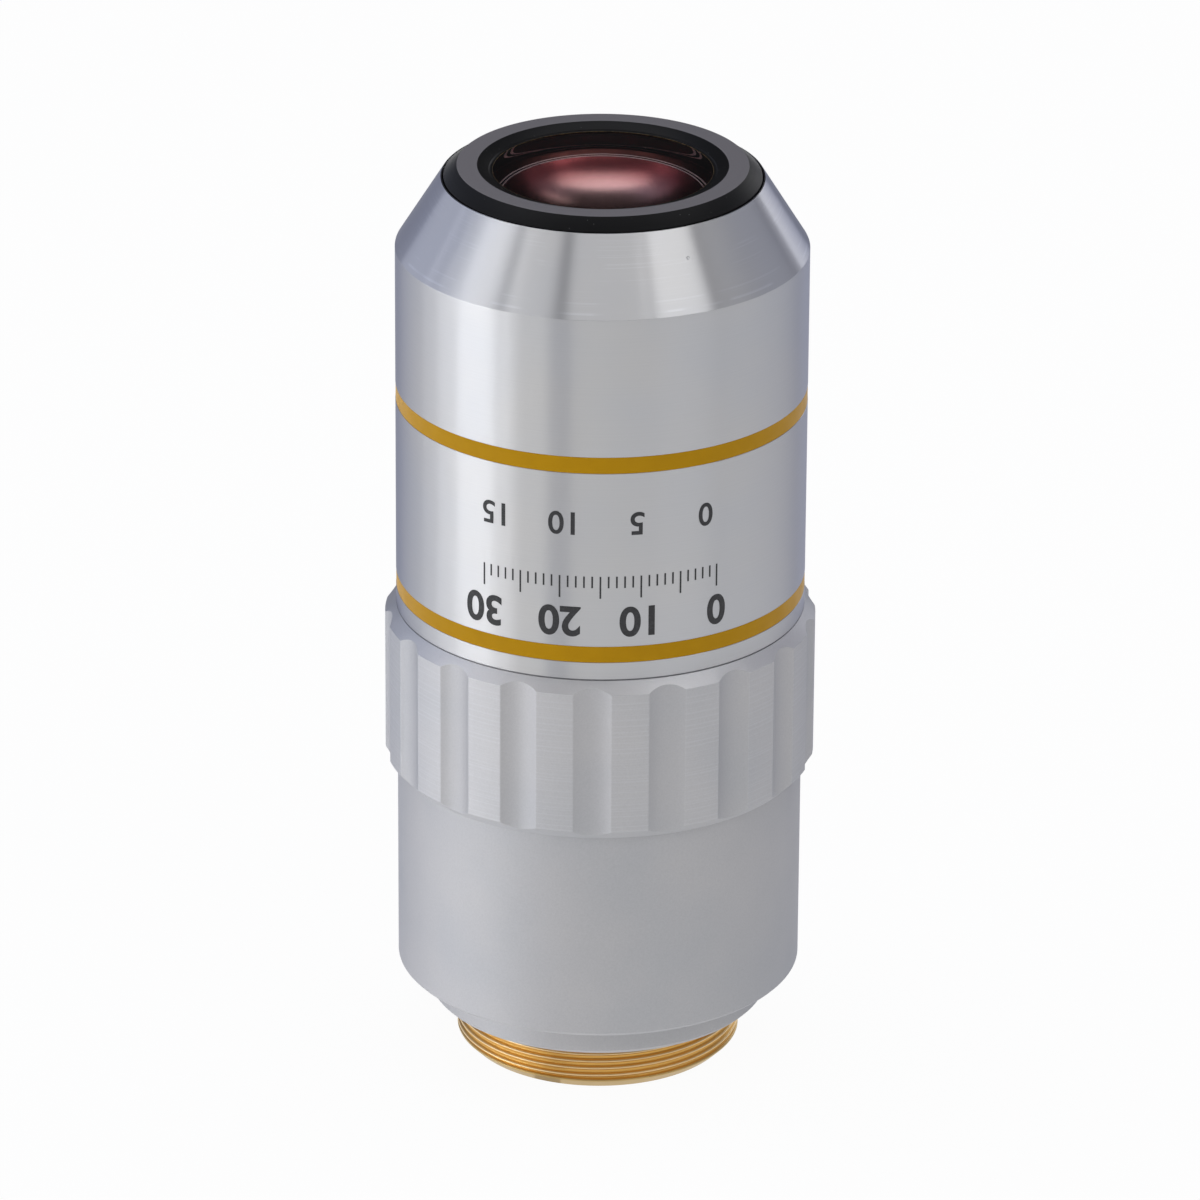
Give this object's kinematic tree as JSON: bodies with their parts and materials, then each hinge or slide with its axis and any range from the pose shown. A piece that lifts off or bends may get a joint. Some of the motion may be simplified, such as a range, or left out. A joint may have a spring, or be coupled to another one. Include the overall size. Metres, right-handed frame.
{
  "type": "microscope objective",
  "caption": "Long microscope objective with a brass mounting thread, a fluted grip ring, a satin barrel with ochre bands and a coned front round a coated lens.",
  "frame": {"origin": "centre of the flat shoulder that meets the nosepiece, where the mounting thread begins", "axes": "+Z along the optical axis from the shoulder to the front lens, -Z out of the thread, -Y towards the side that carries the print"},
  "size_m": [0.0388, 0.0388, 0.0848],
  "materials": {
    "satin_chrome": "satin chromed, fine turning marks",
    "matte_chrome": "matte chromed",
    "black_anodised": "satin black",
    "bare_brass": "bare, fine threaded",
    "inner_black": "dull black against stray light",
    "ochre_enamel": "satin enamel",
    "coated_glass": "polished, red reflection from the coating",
    "steel_screw": "plain"
  },
  "bodies": {
    "root": {"mounting_thread": "bare_brass", "rear_housing": "matte_chrome", "grip_ring": "matte_chrome", "front_sleeve": "satin_chrome", "lower_colour_band": "ochre_enamel", "upper_colour_band": "ochre_enamel", "front_cell": "black_anodised", "front_lens": "coated_glass", "front_lock_ring": "inner_black", "second_lens": "coated_glass", "second_lock_ring": "inner_black", "lens_barrel": "inner_black", "first_doublet_crown": "coated_glass", "first_doublet_flint": "coated_glass", "first_doublet_cell": "inner_black", "spacer_one": "inner_black", "triplet_front_flint": "coated_glass", "triplet_fluorite": "coated_glass", "triplet_rear_flint": "coated_glass", "triplet_cell": "inner_black", "spacer_two": "inner_black", "second_doublet_crown": "coated_glass", "second_doublet_flint": "coated_glass", "second_doublet_cell": "inner_black", "centring_screws": "steel_screw", "rear_pair_negative": "coated_glass", "rear_pair_positive": "coated_glass", "rear_pair_cell": "inner_black", "rear_stop": "inner_black", "parfocal_shim": "bare_brass"}
  },
  "joints": []
}
